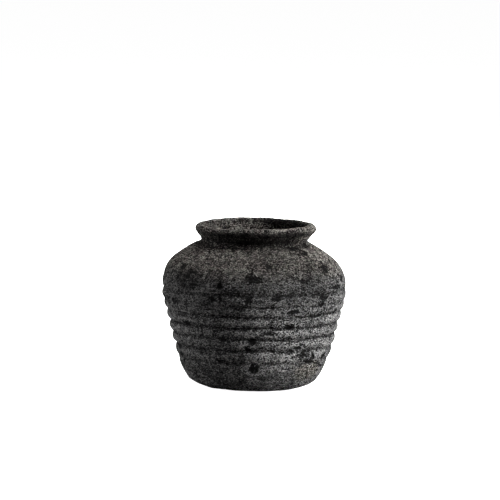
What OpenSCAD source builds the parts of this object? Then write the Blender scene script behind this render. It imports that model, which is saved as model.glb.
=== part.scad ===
// Coil-built clay pot: rounded foot, ridged belly, smooth shoulder, short neck and a rolled lip.
// Every clay member is a solid of revolution about Z, and the foot stands on Z = 0.
// Coils are luted together on bevelled seats, high on the outside and low on the inside.

/* [Body] */
// Outside diameter at the widest part of the belly
body_d = 240; // [230:1:260]
// Height from the foot to the top of the lip
body_h = 213.5; // [212:0.5:230]
// Diameter of the flat underside
foot_d = 108; // [90:1:130]
// Diameter of the slab that the pot is built up from
slab_d = 166; // [158:1:172]
// Thickness of the slab, which is the floor of the pot
floor_t = 10; // [8:0.5:12]
// Thickness of the wall
wall = 9; // [7:0.5:11]

/* [Coils] */
// Height of the top of the heel wall, which is the first coil seam
heel_h = 40; // [36:0.5:42]
// Mean height of one belly coil
coil_h = 15.2; // [14.6:0.1:15.6]
// Depth of the deepest groove between two coils
groove = 2.6; // [1:0.1:3.5]

/* [Neck and lip] */
// Outside diameter of the neck
neck_d = 139; // [134:1:146]
// Inside diameter of the throat, where the neck is a true cylinder
throat_d = 121; // [112:1:124]
// Outside diameter of the rolled lip
lip_d = 156.6; // [152:0.2:164]

/* [Hidden] */
// Height of each belly coil as a share of coil_h, bottom to top, uneven as hand-rolled coils are
coil_share = [1.15, 0.99, 0.99, 0.99, 0.89, 0.99];
// Depth of the groove at each seam as a share of groove, from the top of the heel wall up
groove_share = [0.65, 0.8, 0.85, 1, 0.75, 0.4, 0.55];
belly_coils = len(coil_share);
shoulder_coils = 5;

$fn = 144;

clay = "#35332f";
clay_light = "#413e3a";
clay_dark = "#2b2a28";

body_r = body_d / 2;
foot_r = foot_d / 2;
slab_r = slab_d / 2;
neck_r = neck_d / 2;
throat_r = throat_d / 2;
lip_r = lip_d / 2;

// Radius of the underside's rounded edge, which rises from the flat to the slab's top edge
foot_round = (pow(slab_r - foot_r, 2) + pow(floor_t, 2)) / (2 * floor_t);

// Drop of each luted seat from its outer edge to its inner edge, measured along the wall
seat_drop = 4;
rim_seat_drop = 3;

// The belly's line narrows by this much from the widest level down to the level of the foot
flare = 34;
flare_power = 1.15;
heel_power = 1.6;
heel_steps = 10;
coil_steps = 12;

// Levels of the top belly seam, of the widest part, and where the shoulder starts to run straight
belly_top = seam_z(belly_coils);
widest_z = belly_top - 6.5;
shoulder_rise = 55;
straight_z = widest_z + shoulder_rise;
shoulder_power = 3.26;
shoulder_in = (body_r - neck_r) * 0.606;
shoulder_lean = atan(shoulder_in * shoulder_power / shoulder_rise);
shoulder_steps = 6;
shoulder_swell = 8;

lip_h = 16;
neck_top_z = body_h - lip_h;
neck_flare = 2.5;
neck_fillet = 5;
throat_round = 4;
collar_seat_z = straight_z + 7;

bead_r = 5.3;
crown_r = 8;
bead_start = -35;
crown_end = 160;
arc_step = 15;

// Height of seam n. Seam 0 tops the heel wall, 6 the belly and 11 the shoulder, whose seams
// lie closer together as the wall leans in, so that its coils are as wide as the belly's
function seam_z(n) =
    n == 0 ? heel_h
    : n <= belly_coils ? seam_z(n - 1) + coil_h * coil_share[n - 1]
    : shoulder_seam_z((n - belly_coils) / shoulder_coils);
function shoulder_seam_z(t) = belly_top + (collar_seat_z - belly_top) * t * (1.4 - 0.4 * t);

// Depth of the groove at seam n. The shoulder is smoothed over, so its seams have none
function seam_groove(n) = n <= belly_coils ? groove * groove_share[n] : 0;

// Outer radius of the pot at height z, over the crests of the coils
function body_curve(z) =
    z < widest_z ? body_r - flare * pow(1 - z / widest_z, flare_power)
    : z < straight_z ? body_r - shoulder_in * pow((z - widest_z) / shoulder_rise, shoulder_power)
    : body_r - shoulder_in - (z - straight_z) * tan(shoulder_lean);

// Angle by which the shoulder leans in from the vertical at height z
function lean(z) =
    z < widest_z ? 0
    : z < straight_z ? atan(tan(shoulder_lean) * pow((z - widest_z) / shoulder_rise, shoulder_power - 1))
    : shoulder_lean;

// Point of the outer surface at height z, and the inner point one wall thickness behind it
function outer_point(z) = [body_curve(z), z];
function inner_point(z) = [body_curve(z) - wall * cos(lean(z)), z - wall * sin(lean(z))];

// Level on the outer surface that lies opposite the inner end of the seat at seam n
function seat_z(n) = seam_z(n) - seat_drop * cos(lean(seam_z(n)));
function seat_inner(n) = inner_point(seat_z(n));

// Outer face of the heel wall, steepest where it leaves the slab
function heel_face() = [
    for (i = [0 : heel_steps])
        let (
            z = floor_t + (heel_h - floor_t) * i / heel_steps,
            top_r = body_curve(heel_h) - seam_groove(0)
        )
        [top_r - (top_r - slab_r) * pow(1 - i / heel_steps, heel_power), z]
];

// Rounded outer face of belly coil n, which swells out from one groove and falls to the next
function belly_face(n) = [
    for (i = [0 : coil_steps])
        let (
            t = i / coil_steps,
            z = seam_z(n - 1) + t * (seam_z(n) - seam_z(n - 1)),
            depth = seam_groove(t < 0.5 ? n - 1 : n)
        )
        [body_curve(z) - depth * pow(2 * t - 1, 2), z]
];

// Smoothed outer face of the coil under shoulder seam n, and its inner face from the top down
function shoulder_face(n) = [
    for (i = [0 : shoulder_steps])
        let (
            z = seam_z(n - 1) + (seam_z(n) - seam_z(n - 1)) * i / shoulder_steps,
            t = min(1, (z - belly_top) / shoulder_swell)
        )
        [body_curve(z) - seam_groove(belly_coils) * pow(1 - t, 2), z]
];
function shoulder_back(n) = [
    for (i = [0 : shoulder_steps])
        inner_point(seat_z(n) - (seat_z(n) - seat_z(n - 1)) * i / shoulder_steps)
];

// Points of an arc in the r-z half plane
function arc(centre, radius, start, end) =
    let (steps = max(3, ceil(abs(end - start) / arc_step)))
    [for (i = [0 : steps])
        let (a = start + (end - start) * i / steps)
        centre + radius * [cos(a), sin(a)]];

// Inner edge of the heel wall's seat on the slab
heel_foot = [slab_r - wall - 2, floor_t];

// The inside coil reaches this far along the floor and up the inside of the heel wall
seam_leg = 13;
seam_top = heel_foot + (seat_inner(0) - heel_foot) * seam_leg / (seat_inner(0)[1] - floor_t);
seam_toe = heel_foot - [seam_leg, 0];
seam_hollow = 0.2;

// The shoulder line carried on past the collar's seat, to where it meets the neck and the throat
root_outer = outer_point(collar_seat_z);
root_inner = inner_point(collar_seat_z);
neck_meet_z = root_outer[1] + (root_outer[0] - neck_r) / tan(shoulder_lean);
throat_meet_z = root_inner[1] + (root_inner[0] - throat_r) / tan(shoulder_lean);
neck_fillet_z = neck_meet_z + neck_fillet * tan(shoulder_lean / 2);
throat_round_z = throat_meet_z + throat_round * tan(shoulder_lean / 2);

// Ends of the seat under the rolled lip
rim_seat_outer = [neck_r + neck_flare, neck_top_z];
rim_seat_inner = [throat_r, neck_top_z - rim_seat_drop];

// Turns an outline in the r-z half plane into a ring or disc of clay
module turned(outline, colour) {
    color(colour)
        rotate_extrude()
            polygon(outline);
}

// Flat slab that the pot is built up from, with a rounded underside edge
module base_disc() {
    edge_end = -acos((slab_r - foot_r) / foot_round);
    edge = arc([foot_r, foot_round], foot_round, -90, edge_end);
    turned(concat([[0, 0]], edge, [[0, floor_t]]), clay_dark);
}

// First band of wall, which stands on the slab's rim and leans out to the first coil seam
module heel_wall() {
    turned(concat(heel_face(), [seat_inner(0), heel_foot]), clay);
}

// Soft coil pressed into the inside corner, which seals the floor to the heel wall
module inner_seam_coil() {
    hollow = [
        for (i = [0 : heel_steps])
            let (
                t = i / heel_steps,
                chord = seam_top + (seam_toe - seam_top) * t
            )
            chord + (heel_foot - chord) * seam_hollow * 4 * t * (1 - t)
    ];
    turned(concat([heel_foot], hollow), clay_dark);
}

// Ring n of the coils that make the ridged belly
module belly_coil(n) {
    outline = concat(belly_face(n), [seat_inner(n), seat_inner(n - 1)]);
    turned(outline, n % 2 == 0 ? clay : clay_light);
}

// Ring n of the coils that make the smooth shoulder, turning in towards the neck
module shoulder_coil(n) {
    seam = belly_coils + n;
    turned(concat(shoulder_face(seam), shoulder_back(seam)), n % 2 == 0 ? clay_light : clay);
}

// Short neck with a cylindrical throat
module neck_collar() {
    outer = arc([neck_r + neck_fillet, neck_fillet_z], neck_fillet, 180 + shoulder_lean, 180);
    inner = arc([throat_r + throat_round, throat_round_z], throat_round, 180, 180 + shoulder_lean);
    top_seat = [rim_seat_outer, rim_seat_inner];
    shoulder_seat = [root_inner, seat_inner(belly_coils + shoulder_coils)];
    turned(concat([root_outer], outer, top_seat, inner, shoulder_seat), clay_dark);
}

// Thick lip rolled outwards over the neck, with a rounded bead and a sloping inside
module rim_roll() {
    bead = arc([lip_r - bead_r, body_h - bead_r], bead_r, bead_start, 90);
    crown = arc([lip_r - bead_r, body_h - crown_r], crown_r, 90, crown_end);
    turned(concat([rim_seat_outer], bead, crown, [rim_seat_inner]), clay_light);
}

base_disc();
heel_wall();
inner_seam_coil();
for (n = [1 : belly_coils]) belly_coil(n);
for (n = [1 : shoulder_coils]) shoulder_coil(n);
neck_collar();
rim_roll();
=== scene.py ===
"""A coil-built black clay pot: ash-washed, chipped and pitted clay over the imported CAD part."""

import math

import bmesh
import bpy
import numpy as np
from mathutils import Matrix, Vector


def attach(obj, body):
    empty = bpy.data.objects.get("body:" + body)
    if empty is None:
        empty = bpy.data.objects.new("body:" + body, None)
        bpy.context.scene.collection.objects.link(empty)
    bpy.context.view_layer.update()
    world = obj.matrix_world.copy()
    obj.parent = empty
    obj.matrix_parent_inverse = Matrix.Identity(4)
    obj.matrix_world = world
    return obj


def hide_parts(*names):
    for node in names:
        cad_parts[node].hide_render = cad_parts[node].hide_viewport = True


MM = 0.001
COLUMNS = 800  # mesh columns round the pot
OUTER_STEP = 0.9  # distance between mesh rows on the outside, mm
INNER_STEP = 2.2  # and on the inside of the body and the flat of the foot, mm
PROFILE_STEP = 0.2  # spacing of the points of the smoothed profile, mm
SOFTNESS = 1.0  # how far a wet finger has softened the profile's corners, mm
NORMAL_SOFTNESS = 2.5  # and the same for the direction in which the relief stands out, mm
COIL_AVERAGE = 7  # width of the average that the coils and grooves are measured from, mm

# Heights between which the look changes, mm: it fades in over the first pair and out over the second.
BELT = (26, 46, 124, 146)  # the ridged part of the belly
# Darker from the shoulder to the lip: partly a darker wash, partly painted shade.
SHOULDER_WASH_AND_SHADE = (95, 140, 208, 214)  # shoulder to lip
# Painted light at the top of the left shoulder.
LEFT_SHOULDER_LIGHT = (168, 180, 189, 194)
# Painted shade on the lip's face and under the lip, and painted light where the neck meets the right and the
# left edge.
LIP_FACE = (197, 202, 207, 211.5)
NECK_RIGHT = (186, 190, 200, 206)
NECK_LEFT = (176, 184, 194, 202)
LIP_SHADE_LINE = 197.5  # the darkest line under the lip, mm

BELLY = [f"belly_coil_{n}" for n in range(1, 7)]
SHOULDER = [f"shoulder_coil_{n}" for n in range(1, 6)]
RINGS = ["heel_wall"] + BELLY + SHOULDER + ["neck_collar", "rim_roll"]

# Chips where the ash wash has flaked off. Each is (azimuth from the front in degrees, then height above
# the floor, half width and half height in mm), and azimuths grow towards +X.
CHIPS = [
    (0, 153, 8, 6),
    (-22, 144, 4, 3),
    (-55, 163, 5, 3.5),
    (-44, 158, 6, 1.5),
    (-47, 152, 4, 2),
    (-57, 150, 3, 3),
    (-40, 143, 6, 1.5),
    (-27, 126, 5, 3),
    (-4, 126, 6, 3),
    (14, 128, 6, 3),
    (49, 126, 5, 5),
    (48, 117, 5, 3),
    (62, 138, 14, 2),
    (33, 150, 8, 2),
    (24, 91, 6, 3.5),
    (10, 82, 10, 2.5),
    (-1, 72, 5, 4),
    (-4, 61, 4, 4),
    (28, 57, 4, 3),
    (33, 61, 6, 2),
    (41, 55, 6, 1.5),
    (38, 50, 7, 4),
    (50, 46, 4, 5),
    (48, 41, 8, 2),
    (65, 47, 4, 4),
    (65, 105, 4, 3),
    (26, 110, 8, 2),
    (7, 116, 10, 1.5),
    (1, 34, 6, 6),
    (-51, 90, 5, 4),
    (57, 163, 8, 5),
    (42, 187, 8, 2.5),
    (66, 190, 6, 2.5),
    (50, 181, 5, 1.5),
    (12, 168, 4, 2),
    (75, 147, 5, 4),
    (-62, 118, 6, 4),
]

# Places where the wash stands up in pale flakes round small holes, in the same form.
FLAKES = [
    (72, 147, 14, 12),
    (56, 165, 12, 8),
    (50, 179, 18, 9),
    (42, 53, 14, 5),
    (33, 66, 12, 4),
    (20, 58, 16, 3),
]

# Brown stains, and darker patches, in the same form: the two darker patches near the foot are painted shade.
BROWN = [(50, 28, 22, 12), (57, 163, 10, 8)]
DARK_PATCHES = [(38, 23, 24, 14), (-48, 150, 24, 11), (18, 20, 20, 8)]

# Places where the wash is broken up most, in the same form.
BROKEN = [(-48, 150, 26, 13), (39, 52, 24, 10), (50, 118, 12, 10), (46, 186, 14, 5)]

# Painted highlights: thin pale lines along the coil edges, in the same form.
PAINTED_EDGE_HIGHLIGHTS = [
    (-57, 106, 28, 0.9),
    (-33, 135, 26, 0.8),
    (5, 118, 10, 0.9),
    (20, 113, 8, 0.9),
    (10, 78, 14, 0.9),
    (33, 31, 22, 0.9),
    (16, 17, 10, 0.9),
    (56, 43, 14, 0.9),
]

SCATTERED = 44  # seeded chips on the sides and the back


def scattered_chips():
    """Seeded chips for the sides and the back, which the listed ones don't reach."""
    rng = np.random.default_rng(11)
    chips = []
    for _ in range(SCATTERED):
        azimuth, height = rng.uniform(82, 292), rng.uniform(24, 178)
        chips.append((azimuth, height, rng.uniform(3, 9), rng.uniform(2, 5)))
    return chips


# ---------------------------------------------------------------- noise


def lattice(ix, iy, iz, seed):
    """A repeatable 32-bit hash of a lattice point."""
    h = (ix * 374761393 + iy * 668265263 + iz * 1103515245 + seed * 974634777) & 0xFFFFFFFF
    h = ((h ^ (h >> 13)) * 1274126177) & 0xFFFFFFFF
    return h ^ (h >> 16)


def noise(p, size, seed):
    """Gradient noise from about -1 to 1, with blobs of the given size, at points p of shape (..., 3)."""
    q = p / size
    cell = np.floor(q).astype(np.int64)
    f = q - cell
    fade = f * f * f * (f * (f * 6 - 15) + 10)
    total = np.zeros(p.shape[:-1])
    for corner in range(8):
        d = np.array([corner & 1, corner >> 1 & 1, corner >> 2 & 1])
        h = lattice(*(cell[..., k] + d[k] for k in range(3)), seed)
        slope = [((h >> 10 * k) & 1023) / 511.5 - 1 for k in range(3)]
        part = sum(slope[k] * (f[..., k] - d[k]) for k in range(3))
        for k in range(3):
            part = part * (fade[..., k] if d[k] else 1 - fade[..., k])
        total += part
    return np.clip(total * 1.7, -1, 1)


def layered(p, size, seed, octaves, keep=0.55):
    """Noise with finer layers added, each half the size and keep times as strong as the one before."""
    total, weight, reach = 0.0, 1.0, 0.0
    for octave in range(octaves):
        total = total + weight * noise(p, size / 2**octave, seed + 17 * octave)
        reach += weight * weight
        weight *= keep
    return total / math.sqrt(reach)


def ease(low, high, value):
    """0 at low and beyond, 1 at high and beyond, smooth between, whichever of the two is larger."""
    t = np.clip((value - low) / (high - low), 0, 1)
    return t * t * (3 - 2 * t)


def band(value, rise_from, rise_to, fall_from, fall_to):
    """0 below and above the band, 1 from rise_to to fall_from."""
    return ease(rise_from, rise_to, value) * ease(fall_to, fall_from, value)


def hump(value, middle, width):
    """1 in the middle, falling away smoothly on both sides."""
    return np.exp(-(((value - middle) / width) ** 2))


# ---------------------------------------------------------------- the profile, from the CAD nodes


def outline(node):
    """The (r, z) points, in mm, of the node's cut face on the +X side, in order."""
    cut = bmesh.new()
    cut.from_mesh(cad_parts[node].data)
    bmesh.ops.remove_doubles(cut, verts=cut.verts, dist=0.01 * MM)
    links = {}
    for edge in cut.edges:
        if all(abs(v.co.y) < 1e-7 and v.co.x > 0 for v in edge.verts):
            a, b = ((v.co.x / MM, v.co.z / MM) for v in edge.verts)
            links.setdefault(a, []).append(b)
            links.setdefault(b, []).append(a)
    cut.free()
    ends = sorted(point for point, near in links.items() if len(near) == 1)
    path = [ends[0] if ends else min(links)]
    while True:
        onward = sorted(point for point in links[path[-1]] if point not in path)
        if not onward:
            return path
        path.append(onward[0])


def nearest(path, point):
    return min(range(len(path)), key=lambda k: math.dist(path[k], point))


def shared(path, other):
    """The outer (upper) and inner (lower) end of the seat between two outlines."""
    common = sorted((p for p in path if math.dist(p, other[nearest(other, p)]) < 0.02), key=lambda p: p[1])
    return common[-1], common[0]


def stretch(loop, start, end, avoid=None):
    """The points of a closed loop from start to end: the way that misses avoid, or the longer way."""
    a, b = nearest(loop, start), nearest(loop, end)
    n = len(loop)
    ways = [
        [loop[(a + k) % n] for k in range((b - a) % n + 1)],
        [loop[(a - k) % n] for k in range((a - b) % n + 1)],
    ]
    if avoid is not None:
        bad = loop[nearest(loop, avoid)]
        return ways[0] if bad not in ways[0] else ways[1]
    return max(ways, key=lambda way: sum(math.dist(p, q) for p, q in zip(way, way[1:])))


def trace_profile():
    """The whole skin, from the middle of the underside over the lip to the middle of the floor inside.

    Returns its points, the stretches of it that each node owns, and the hidden corner (r, z) where
    the slab, the heel wall and the soft coil inside meet.
    """
    loops = {name: outline(name) for name in RINGS + ["inner_seam_coil"]}
    base = sorted(outline("base_disc"))
    outer, inner = {}, {}
    for low, high in zip(RINGS, RINGS[1:]):
        outer[high], inner[high] = shared(loops[low], loops[high])
    outer["heel_wall"] = loops["heel_wall"][nearest(loops["heel_wall"], base[-1])]
    inner["heel_wall"], heel_toe = shared(loops["heel_wall"], loops["inner_seam_coil"])
    coil_toe = min(loops["inner_seam_coil"])

    skins = [("base_disc", [(0.0, 0.0)] + base)]
    for low, high in zip(RINGS, RINGS[1:]):
        skins.append((low, stretch(loops[low], outer[low], outer[high], inner[high])))
    skins.append(("rim_roll", stretch(loops["rim_roll"], outer["rim_roll"], inner["rim_roll"])))
    for low, high in reversed(list(zip(RINGS, RINGS[1:]))):
        skins.append((low, stretch(loops[low], inner[high], inner[low], outer[high])))
    skins.append(
        ("inner_seam_coil", stretch(loops["inner_seam_coil"], inner["heel_wall"], coil_toe, heel_toe))
    )
    skins.append(("base_disc", [coil_toe, (0.0, base[-1][1])]))

    points, owned, length = [skins[0][1][0]], {}, 0.0
    for name, path in skins:
        begin = length
        for point in path[1:]:
            length += math.dist(points[-1], point)
            points.append(point)
        owned.setdefault(name, []).append((begin, length))
    return np.array(points), owned, heel_toe


def blur(values, width):
    """A running average of evenly spaced profile values, with the ends mirrored through their last value."""
    reach = int(3 * width / PROFILE_STEP)
    x = np.arange(-reach, reach + 1) * PROFILE_STEP
    kernel = np.exp(-(x**2) / (2 * width**2))
    padded = np.pad(values, reach, mode="reflect", reflect_type="odd")
    return np.convolve(padded, kernel / kernel.sum(), mode="valid")


class Profile:
    """The softened skin line, with its outward direction, as functions of the length along it."""

    def __init__(self, points):
        along = np.concatenate([[0], np.cumsum(np.hypot(*np.diff(points, axis=0).T))])
        count = int(along[-1] / PROFILE_STEP) + 1
        self.s = np.linspace(0, along[-1], count)
        self.r = blur(np.interp(self.s, along, points[:, 0]), SOFTNESS)
        self.z = blur(np.interp(self.s, along, points[:, 1]), SOFTNESS)
        dr = blur(np.gradient(self.r), NORMAL_SOFTNESS)
        dz = blur(np.gradient(self.z), NORMAL_SOFTNESS)
        size = np.hypot(dr, dz)
        self.out_r, self.out_z = dz / size, -dr / size
        self.crown = self.s[np.argmax(self.z)]
        self.foot_edge = self.s[np.argmax(self.z > 0.05)]
        self.total = self.s[-1]

    def at(self, s):
        return [np.interp(s, self.s, line) for line in (self.r, self.z, self.out_r, self.out_z)]


# ---------------------------------------------------------------- the worked surface of the clay


class Skin:
    """A grid of points on the pot's smooth skin, with how much of each zone is at each point."""

    def __init__(self, s, azimuth_columns):
        self.s, self.azimuth = np.meshgrid(s, azimuth_columns, indexing="ij")
        self.turn = np.radians(self.azimuth)
        self.right, self.front = np.sin(self.turn), np.cos(self.turn)
        columns = len(azimuth_columns)
        lines = [np.repeat(line[:, None], columns, 1) for line in profile.at(s)]
        self.r, self.z, self.out_r, self.out_z = lines
        self.p = np.stack([self.r * self.right, -self.r * self.front, self.z], axis=-1)

        self.past_crown = self.s - profile.crown
        self.outside = ease(12, 4, self.past_crown)
        throat = ease(60, 20, self.past_crown)
        self.wall = ease(-2, 14, self.s - profile.foot_edge)
        self.belt = band(self.z, *BELT) * self.outside
        self.worked = self.wall * (0.35 + 0.65 * np.maximum(self.outside, throat))

        self.coil_relief = relief_of_coils(self.s)
        self.groove_life = 0.8 + 0.5 * noise(self.p * [1, 1, 1.6], 34, 11)


def patches(places, skin, wobble):
    """1 inside the listed patches, 0 outside, with edges broken up by the wobble noise."""
    mask = np.zeros(skin.z.shape)
    for azimuth, height, half_width, half_height in places:
        away = (skin.azimuth - azimuth + 180) % 360 - 180
        across = np.radians(away) * skin.r / half_width
        up = (skin.z - height) / half_height
        mask = np.maximum(mask, ease(1.25, 0.8, np.hypot(across, up) + 0.75 * wobble))
    return mask


def relief_of_coils(s):
    """How far the profile stands out from its own wider average, in mm: below 0 in a groove."""
    wide_r = blur(profile.r, COIL_AVERAGE)
    wide_z = blur(profile.z, COIL_AVERAGE)
    rise = (profile.r - wide_r) * profile.out_r + (profile.z - wide_z) * profile.out_z
    return np.interp(s, profile.s, rise)


class Wear:
    """Where the wash is chipped, flaked, pitted and worn on a skin."""

    def __init__(self, skin):
        p = skin.p
        self.edges = layered(p * [1, 1, 2], 6, 21, 4, 0.8)
        self.worn = noise(p, 62, 33)
        fallen = layered(p * [1, 1, 1.7], 12, 31, 4, 0.65) + 0.3 * self.worn
        torn = layered(p * [1, 1, 2.6], 8, 35, 4, 0.7) + 0.28 * self.worn + 0.12 * skin.belt
        torn += 0.2 * patches(BROKEN, skin, self.edges)
        natural = np.maximum(ease(0.66, 0.84, fallen), 0.8 * ease(0.50, 0.66, torn))
        placed = patches(all_chips, skin, self.edges)
        mottle = 0.8 + 0.3 * noise(p * [1, 1, 1.6], 4, 36)
        self.chips = np.maximum(placed, natural) * skin.wall * mottle
        self.flakes = patches(FLAKES, skin, self.edges) * skin.wall
        pits = layered(p * [1, 1, 1.35], 3.4, 41, 2, 0.6) + 0.15 * self.worn + 0.1 * ease(130, 150, skin.z)
        self.pits = ease(0.22, 0.62, pits) * skin.worked


def hand_shift(skin):
    """How far the hand-built pot leans out of true, in mm, as x, y and z moves."""
    z = skin.z
    shoulder = hump(z, 172, 20)
    lip = ease(196, 208, z)
    x = -2.6 * shoulder + 0.5 * lip - 1.5 * ease(60, 25, z)
    y = 1.2 * shoulder - 0.5 * lip
    foot = ease(34, 4, z) * ease(0, 3, z)
    lip_warp = 0.7 * np.sin(2 * skin.turn + 0.6) - 2 * ease(0.1, 1, skin.front)
    up = foot * (0.4 - 0.3 * skin.right) + lip * lip_warp
    return x, y, up


def finger_strokes(skin):
    """Level drag marks from -1 to 1 or so."""
    return layered(skin.p * [1, 1, 6], 46, 5, 3)


def relief_height(skin, wear):
    """How far the worked clay stands out from the smooth skin, in mm."""
    p, z = skin.p, skin.z
    lumps = 0.85 * noise(p, 58, 3) + 0.5 * noise(p, 23, 4)
    strokes = 0.42 * finger_strokes(skin) * (0.35 + 0.65 * skin.belt)
    crumbs = 0.22 * layered(p, 7, 8, 3, 0.6)
    coils = 0.7 * skin.coil_relief * (skin.belt * skin.groove_life + 0.7 * ease(200, 208, z))
    height = skin.worked * (0.7 + lumps + strokes + crumbs + coils)

    chip_depth = 0.75 * (1 - 0.3 * noise(p, 3, 61))
    height += 0.45 * wear.flakes * wear.edges - chip_depth * wear.chips - 0.5 * wear.pits

    undercut = 1.6 * hump(z, 197, 4) + 0.8 * ease(200, 206, z)  # under the lip, on the left only
    full_neck_root = 1.3 * hump(z, 184, 6)
    height += ease(0.5, 0.95, -skin.right) * skin.outside * (full_neck_root - undercut)
    return height * ease(0, 6, skin.s) * ease(profile.total, profile.total - 6, skin.s)


def coil_sway(skin):
    """How far the coils wander up and down, in mm along the skin."""
    long_waves = noise(skin.p * [1, 1, 0.6], 48, 71)
    short_waves = 0.6 * noise(skin.p * [1, 1, 0.5], 19, 72)
    return skin.worked * skin.outside * skin.belt * (long_waves + short_waves)


def shoulder_wash_shade_and_light(skin):
    """Darker from the shoulder to the lip, partly a darker wash and partly painted shade, least at both edges
    and most right of the front; and painted light at the top of the left shoulder.
    """
    # A darker wash with painted shade, growing right of the front and falling away at the far right.
    darker_wash_and_shade = 0.52 + 0.25 * skin.right - 0.48 * ease(0.72, 0.95, skin.right)
    darker_wash_and_shade = darker_wash_and_shade * band(skin.z, *SHOULDER_WASH_AND_SHADE) * skin.outside
    # Painted light on the top of the shoulder's left side.
    painted_light_left_top = 0.12 * band(skin.z, *LEFT_SHOULDER_LIGHT) * ease(0.3, -0.4, skin.right) * skin.outside
    return painted_light_left_top - darker_wash_and_shade


def lip_painted_shade_and_light(skin):
    """Painted shade under the lip, on its front face and on its top front, and painted light where the neck
    meets both edges.
    """
    z = skin.z
    off_centre = (skin.azimuth + 12 + 180) % 360 - 180
    # Painted shade in the crease under the lip and on its face, mostly at the front.
    painted_shade_under_lip = 0.35 * hump(z, LIP_SHADE_LINE, 5) + 0.2 * band(z, *LIP_FACE)
    painted_lip_shade = painted_shade_under_lip * skin.outside * (0.15 + 0.85 * hump(off_centre, 0, 50))
    # Painted shade on the top front of the lip, outside the crown.
    painted_lip_shade = painted_lip_shade + 0.4 * np.clip(skin.front, 0, 1) * ease(203, 207, z) * ease(1, -1, skin.past_crown)
    # Painted light where the neck meets the right and the left edge.
    painted_light_right_neck = 0.3 * ease(0.5, 0.9, skin.right) * band(z, *NECK_RIGHT)
    painted_light_left_neck = 0.2 * ease(-0.6, -0.9, skin.right) * band(z, *NECK_LEFT)
    return (painted_light_right_neck + painted_light_left_neck) * skin.outside - painted_lip_shade


def tone_with_painted_light(skin, wear):
    """How light the clay is at each point, 1 on the middle of the belly: the wash's own tone and darker
    patches, with painted shade and painted light added.
    """
    z = skin.z
    # Painted shade inside the mouth, strongest towards +X.
    painted_shade_inside = ease(-0.5, 6, skin.past_crown) * (0.53 + 0.33 * ease(-8, 30, skin.p[..., 0]))
    # Painted light on the lower body.
    painted_light_low = 0.14 * ease(85, 55, z)
    # Painted shade on the lower left.
    painted_shade_low_left = 0.3 * ease(80, 50, z) * ease(-0.4, -0.85, skin.right) * skin.outside
    tone_and_painted_light = 1 + shoulder_wash_shade_and_light(skin) + lip_painted_shade_and_light(skin) - painted_shade_inside + painted_light_low - painted_shade_low_left
    tone_and_painted_light += 0.14 * noise(skin.p, 40, 91)
    # Darker patches: the two near the foot are painted shade.
    tone_and_painted_light *= 1 - 0.35 * patches(DARK_PATCHES, skin, wear.edges)
    return np.clip(tone_and_painted_light, 0.08, 1.2)


def colour_masks(skin, wear):
    """The vertex attributes that the clay material reads."""
    crumbled = np.clip(1.8 * layered(skin.p * [1, 1, 1.6], 4.5, 51, 3, 0.7), -1, 1)
    # Painted highlight on the lip's crown, at the front.
    painted_lip_highlight = hump(skin.past_crown, 0, 1.1) * np.clip(skin.front + 0.2 * wear.edges, 0, 1)
    stains = patches(BROWN, skin, wear.edges)
    # Painted shade in the grooves between the coils.
    hollow = ease(-0.10, -0.9, skin.coil_relief) * np.clip(skin.groove_life, 0, 1)
    return {
        # The tone holds painted shade and painted light as well as the wash's own tone.
        "tone_and_painted_light": tone_with_painted_light(skin, wear),
        "worn": 0.5 + 0.5 * wear.worn,
        "chip": wear.chips,
        "flake": wear.flakes * crumbled,
        # The line mask holds painted highlights: thin lines along the coil edges and the front of the lip's
        # crown.
        "line": np.maximum(patches(PAINTED_EDGE_HIGHLIGHTS, skin, 0.4 * wear.edges), painted_lip_highlight),
        "pit": wear.pits,
        "stroke": 0.5 + 0.5 * finger_strokes(skin) * (0.35 + 0.65 * skin.belt),
        "brown": np.maximum(ease(140, 168, skin.z), stains),
        "hollow": hollow * skin.outside * skin.wall,
        # Painted highlight on the coil crests.
        "painted_crest_highlight": ease(0.1, 0.6, skin.coil_relief) * skin.outside * skin.belt,
    }


def clay_skin(s, azimuth_columns):
    """The worked skin at each length s and azimuth: points in mm, and the masks for the colour."""
    skin = Skin(s, azimuth_columns)
    wear = Wear(skin)
    height = relief_height(skin, wear)
    sway = coil_sway(skin)
    shift_x, shift_y, shift_z = hand_shift(skin)
    r = skin.r + skin.out_r * height - skin.out_z * sway
    z = skin.z + skin.out_z * height + skin.out_r * sway + shift_z
    points = [r * skin.right + shift_x, -r * skin.front + shift_y, np.maximum(z, 0)]
    return np.stack(points, axis=-1), colour_masks(skin, wear)


# ---------------------------------------------------------------- meshes


def row_lengths(begin, end):
    """The lengths along the profile at which one stretch of skin gets its mesh rows."""
    middle = (begin + end) / 2
    fine = profile.foot_edge - 4 < middle < profile.crown + 40
    step = OUTER_STEP if fine else INNER_STEP
    return np.linspace(begin, end, max(2, math.ceil((end - begin) / step)) + 1)


def skin_rows(begin, end):
    """The worked skin of one stretch, with the slab's stretch split into its flat and its outer edge."""
    rows = row_lengths(begin, end)
    if begin < profile.foot_edge < end:
        flat_rows = math.ceil((profile.foot_edge - begin) / INNER_STEP) + 1
        edge_rows = math.ceil((end - profile.foot_edge) / OUTER_STEP) + 1
        flat = np.linspace(begin, profile.foot_edge, flat_rows)
        edge = np.linspace(profile.foot_edge, end, edge_rows)
        rows = np.concatenate([flat[:-1], edge])
    azimuth = np.arange(COLUMNS) * 360 / COLUMNS
    return clay_skin(rows, azimuth)


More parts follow.
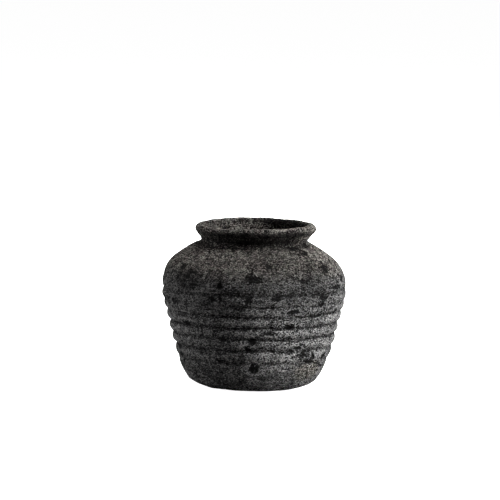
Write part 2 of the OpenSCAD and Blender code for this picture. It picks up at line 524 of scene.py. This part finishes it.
def seat_rows(lower, upper, corners=()):
    """Straight bands of the luted seat between two skins, by way of any inner corners (r, z)."""
    turn = np.radians(np.arange(COLUMNS) * 360 / COLUMNS)
    stops = [lower]
    for r, z in corners:
        stops.append(np.stack([r * np.sin(turn), -r * np.cos(turn), np.full(COLUMNS, z)], axis=-1))
    stops.append(upper)
    bands = []
    for a, b in zip(stops, stops[1:]):
        bands += [a + (b - a) * t for t in (1 / 3, 2 / 3)]
        bands.append(b)
    return np.array(bands[:-1])


def ring_mesh(name, grid, closed, masks):
    """One piece's mesh from its rows of points: a closed ring, or a body capped at both ends on the axis."""
    rows = len(grid)
    points = grid.reshape(-1, 3) * MM
    col = np.arange(COLUMNS)
    nxt = (col + 1) % COLUMNS
    last = rows if closed else rows - 1
    faces = []
    for row in range(last):
        here, there = row * COLUMNS, (row + 1) % rows * COLUMNS
        faces.append(np.stack([here + col, here + nxt, there + nxt, there + col], axis=1))
    faces = np.concatenate(faces).tolist()
    extra = []
    if not closed:
        bottom, top = len(points), len(points) + 1
        extra = [grid[0].mean(0) * MM, grid[-1].mean(0) * MM]
        faces += [[bottom, b, a] for a, b in zip(col.tolist(), nxt.tolist())]
        start = (rows - 1) * COLUMNS
        faces += [[top, start + a, start + b] for a, b in zip(col.tolist(), nxt.tolist())]
    mesh = bpy.data.meshes.new(name)
    mesh.from_pydata(np.concatenate([points, extra]) if extra else points, [], faces)
    mesh.shade_smooth()
    for label, values in masks.items():
        data = np.zeros(len(mesh.vertices), np.float32)
        data[: values.size] = values.reshape(-1)
        mesh.attributes.new(label, "FLOAT", "POINT").data.foreach_set("value", data)
    return mesh


def build_piece(name):
    """The worked clay that stands for one CAD node."""
    stretches = owned[name]
    skins = [skin_rows(*part) for part in stretches]
    closed = name != "base_disc"
    grids, mask_rows = [], []
    for k, (points, masks) in enumerate(skins):
        grids.append(points)
        mask_rows.append(masks)
        if not closed and k == len(skins) - 1:
            break
        following = skins[(k + 1) % len(skins)][0][0]
        seat = seat_rows(points[-1], following, seat_corners(name, k))
        grids.append(seat)
        mask_rows.append({label: np.zeros(seat.shape[:2]) for label in masks})
    masks = {label: np.concatenate([m[label] for m in mask_rows]) for label in mask_rows[0]}
    mesh = ring_mesh(name, np.concatenate(grids), closed, masks)
    piece = bpy.data.objects.new("clay_" + name, mesh)
    bpy.context.scene.collection.objects.link(piece)
    piece.data.materials.append(clay)
    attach(piece, "root")
    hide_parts(name)
    return piece


def seat_corners(name, seat):
    """The corner that a hidden face turns through, on the pieces where it isn't one straight seat."""
    turns = name in ("base_disc", "inner_seam_coil") or (name == "heel_wall" and seat == 1)
    return [heel_toe] if turns else []


# ---------------------------------------------------------------- material


class Graph:
    """Short calls for building a node tree."""

    def __init__(self, tree):
        self.tree = tree

    def node(self, kind, **settings):
        made = self.tree.nodes.new("ShaderNode" + kind)
        for key, value in settings.items():
            setattr(made, key, value)
        return made

    def plug(self, source, target):
        self.tree.links.new(source, target)

    def math(self, operation, a, b):
        made = self.node("Math", operation=operation)
        for socket, value in zip(made.inputs, (a, b)):
            if isinstance(value, (int, float)):
                socket.default_value = value
            else:
                self.plug(value, socket)
        return made.outputs[0]

    def attribute(self, name):
        return self.node("Attribute", attribute_name=name).outputs["Fac"]

    def noise(self, vector, scale, detail=3.0, roughness=0.6):
        made = self.node("TexNoise")
        made.inputs["Scale"].default_value = scale
        made.inputs["Detail"].default_value = detail
        made.inputs["Roughness"].default_value = roughness
        self.plug(vector, made.inputs["Vector"])
        return made.outputs["Fac"]

    def ramp(self, value, stops):
        made = self.node("ValToRGB")
        elements = made.color_ramp.elements
        while len(elements) < len(stops):
            elements.new(0.5)
        for element, (at, colour) in zip(elements, stops):
            element.position = at
            element.color = (*colour, 1)
        self.plug(value, made.inputs["Fac"])
        return made.outputs["Color"]

    def mix(self, factor, a, b, blend="MIX"):
        made = self.node("Mix", data_type="RGBA", blend_type=blend)
        for name, value in (("Factor", factor), ("A", a), ("B", b)):
            socket = made.inputs[name]
            if isinstance(value, (int, float)):
                socket.default_value = value
            elif isinstance(value, tuple):
                socket.default_value = (*value, 1)
            else:
                self.plug(value, socket)
        return made.outputs["Result"]


# How much each vertex mask adds to the wash.
WASH_BY_MASK = {
    "chip": -0.85,
    "pit": -0.55,
    # Painted shade in the grooves.
    "hollow": -0.25,
    # Painted highlight on the coil crests.
    "painted_crest_highlight": 0.08,
    "flake": 0.42,
    # The line mask: painted highlights along the coil edges and on the front of the lip's crown.
    "line": 0.3,
    "stroke": 0.24,
}

# The clay's colour by the amount of wash: (amount, (albedo, warmth)).
CLAY_RAMP = [
    (0.0, (0.002, 0.0)),
    (0.28, (0.006, 0.0)),
    (0.42, (0.022, 0.0)),
    (0.56, (0.048, 0.0)),
    (0.78, (0.100, 0.0)),
    (1.0, (0.27, 0.02)),
]


def grey(value, warm=0.0):
    return (value * (1 + warm), value, value * (1 - warm))


def wash_level(graph, place):
    """How much pale wash is left, 0 to 1, and the cloud noise in it."""
    level_marks, speckle_space = graph.node("Mapping"), graph.node("Mapping")
    level_marks.inputs["Scale"].default_value = (1, 1, 6)
    speckle_space.inputs["Scale"].default_value = (1, 1, 2)
    graph.plug(place, level_marks.inputs["Vector"])
    graph.plug(place, speckle_space.inputs["Vector"])
    fine = speckle_space.outputs["Vector"]

    speckle = graph.noise(fine, 480, 2.0, 0.6)
    grains = graph.noise(fine, 1100, 1.0, 0.5)
    clouds = graph.noise(place, 75, 3.0, 0.6)
    drags = graph.noise(level_marks.outputs["Vector"], 110, 3.0, 0.65)
    vein = graph.noise(fine, 300, 2.0, 0.5)
    crevice = graph.math("ABSOLUTE", graph.math("SUBTRACT", vein, 0.5), 0.0)
    crevice = graph.math("MINIMUM", graph.math("MULTIPLY", crevice, 14.0), 1.0)

    contrast = graph.math("ADD", graph.math("MULTIPLY", graph.attribute("worn"), 2.0), 2.3)
    wash = graph.math("MULTIPLY", graph.math("SUBTRACT", speckle, 0.5), contrast)
    for part, weight in ((grains, 0.7), (clouds, 0.7), (drags, 0.95), (crevice, 0.25)):
        wash = graph.math("ADD", wash, graph.math("MULTIPLY", part, weight))
    wash = graph.math("SUBTRACT", wash, 0.85)
    for mask, weight in WASH_BY_MASK.items():
        wash = graph.math("ADD", wash, graph.math("MULTIPLY", graph.attribute(mask), weight))
    return graph.math("MAXIMUM", wash, 0.0), clouds


def clay_colour(graph, level, clouds):
    """Bare black clay to pale wash, browned in the stains, times the tone, which carries painted shade and
    painted light.
    """
    colour = graph.ramp(level, [(at, grey(*shade)) for at, shade in CLAY_RAMP])
    red_or_olive = graph.ramp(clouds, [(0.42, grey(0.0)), (0.58, grey(1.0))])
    tint = graph.mix(red_or_olive, (1.16, 0.99, 0.90), (1.05, 1.01, 0.87))
    browned = graph.mix(1.0, colour, tint, "MULTIPLY")
    stain = graph.math("MULTIPLY", graph.attribute("brown"), 0.65)
    colour = graph.mix(stain, colour, browned)
    shade = graph.node("CombineColor")
    for channel in shade.inputs[:3]:
        graph.plug(graph.attribute("tone_and_painted_light"), channel)
    return graph.mix(1.0, colour, shade.outputs[0], "MULTIPLY")


def clay_material():
    """Black clay under a worn pale ash wash: speckled on the high ground, bare in pits and chips."""
    material = bpy.data.materials.new("black_clay_ash_washed")
    material.use_nodes = True
    graph = Graph(material.node_tree)
    shader = material.node_tree.nodes["Principled BSDF"]
    place = graph.node("TexCoord").outputs["Object"]
    level, clouds = wash_level(graph, place)
    graph.plug(clay_colour(graph, level, clouds), shader.inputs["Base Color"])

    rough = graph.node("MapRange")
    rough.inputs["To Min"].default_value = 0.78
    rough.inputs["To Max"].default_value = 0.96
    graph.plug(level, rough.inputs["Value"])
    graph.plug(rough.outputs["Result"], shader.inputs["Roughness"])
    shader.inputs["Specular IOR Level"].default_value = 0.04

    bump = graph.node("Bump")
    bump.inputs["Strength"].default_value = 0.9
    bump.inputs["Distance"].default_value = 0.9 * MM
    graph.plug(level, bump.inputs["Height"])
    graph.plug(bump.outputs["Normal"], shader.inputs["Normal"])
    return material


# ---------------------------------------------------------------- floor, light and camera


def set_floor():
    """A white floor, lit to plain white, that throws no light on the pot."""
    mesh = bpy.data.meshes.new("floor")
    half = 30.0
    corners = [(-half, -half, 0), (half, -half, 0), (half, half, 0), (-half, half, 0)]
    mesh.from_pydata(corners, [], [(0, 1, 2, 3)])
    floor = bpy.data.objects.new("floor", mesh)
    bpy.context.scene.collection.objects.link(floor)
    floor.location.z = -0.5 * MM
    paper = bpy.data.materials.new("white_paper")
    paper.use_nodes = True
    shader = paper.node_tree.nodes["Principled BSDF"]
    shader.inputs["Base Color"].default_value = (0.85, 0.85, 0.85, 1)
    shader.inputs["Roughness"].default_value = 0.9
    shader.inputs["Emission Color"].default_value = (1, 1, 1, 1)
    shader.inputs["Emission Strength"].default_value = 0.95
    floor.data.materials.append(paper)
    floor.visible_diffuse = False
    floor.visible_glossy = False


def softbox(name, azimuth, elevation, distance, width, height, power):
    """A rectangular lamp aimed at the middle of the pot: degrees from the front, metres and watts."""
    lamp = bpy.data.lights.new(name, "AREA")
    lamp.shape = "RECTANGLE"
    lamp.size, lamp.size_y = width, height
    lamp.energy = power
    lamp_object = bpy.data.objects.new(name, lamp)
    a, e = math.radians(azimuth), math.radians(elevation)
    aim = Vector((0, 0, 0.11))
    away = Vector((math.sin(a) * math.cos(e), -math.cos(a) * math.cos(e), math.sin(e)))
    lamp_object.location = aim + away * distance
    lamp_object.rotation_euler = (-away).to_track_quat("-Z", "Y").to_euler()
    bpy.context.scene.collection.objects.link(lamp_object)


def set_lights():
    """A key from the right, and low lamps that leave the right of the inside dark."""
    softbox("key", 74, 14, 2.0, 0.8, 0.9, 104)
    softbox("top", 72, 60, 1.6, 1.0, 1.0, 44)
    softbox("left_edge", -106, 6, 2.2, 0.6, 0.2, 46)
    softbox("front_fill", -10, 3, 3.0, 1.5, 0.5, 19)
    softbox("back", 172, 0, 2.4, 1.4, 0.2, 60)
    world = bpy.data.worlds.new("studio")
    bpy.context.scene.world = world
    world.use_nodes = True
    background = world.node_tree.nodes["Background"]
    background.inputs["Color"].default_value = (1, 1, 1, 1)
    background.inputs["Strength"].default_value = 0.03


def set_camera():
    """A long lens, a little above the lip and rolled slightly, with the pot low in the frame."""
    distance, above, tilt, roll = 8.0, math.radians(6.8), math.radians(6.23806), math.radians(0.7)
    camera = bpy.data.cameras.new("camera")
    camera.lens = 440.4552
    camera.clip_end = 100
    camera_object = bpy.data.objects.new("camera", camera)
    camera_object.location = (-6.4 * MM, -distance, 0.1 + distance * math.tan(above))
    camera_object.rotation_mode = "XYZ"
    look = Matrix.Rotation(math.radians(90) - tilt, 4, "X") @ Matrix.Rotation(roll, 4, "Z")
    camera_object.rotation_euler = look.to_euler()
    bpy.context.scene.collection.objects.link(camera_object)
    bpy.context.scene.camera = camera_object


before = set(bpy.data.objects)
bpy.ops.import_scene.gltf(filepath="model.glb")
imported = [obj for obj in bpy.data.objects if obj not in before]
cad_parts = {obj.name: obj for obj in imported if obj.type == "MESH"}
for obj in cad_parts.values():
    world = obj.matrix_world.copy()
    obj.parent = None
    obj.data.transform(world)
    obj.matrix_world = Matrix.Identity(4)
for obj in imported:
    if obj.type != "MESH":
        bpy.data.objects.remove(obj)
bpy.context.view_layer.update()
skin_points, owned, heel_toe = trace_profile()
profile = Profile(skin_points)
all_chips = CHIPS + scattered_chips()
clay = clay_material()
for node_name in ["base_disc", "inner_seam_coil"] + RINGS:
    build_piece(node_name)
set_floor()
set_lights()
set_camera()
bpy.context.scene.view_settings.view_transform = "Standard"
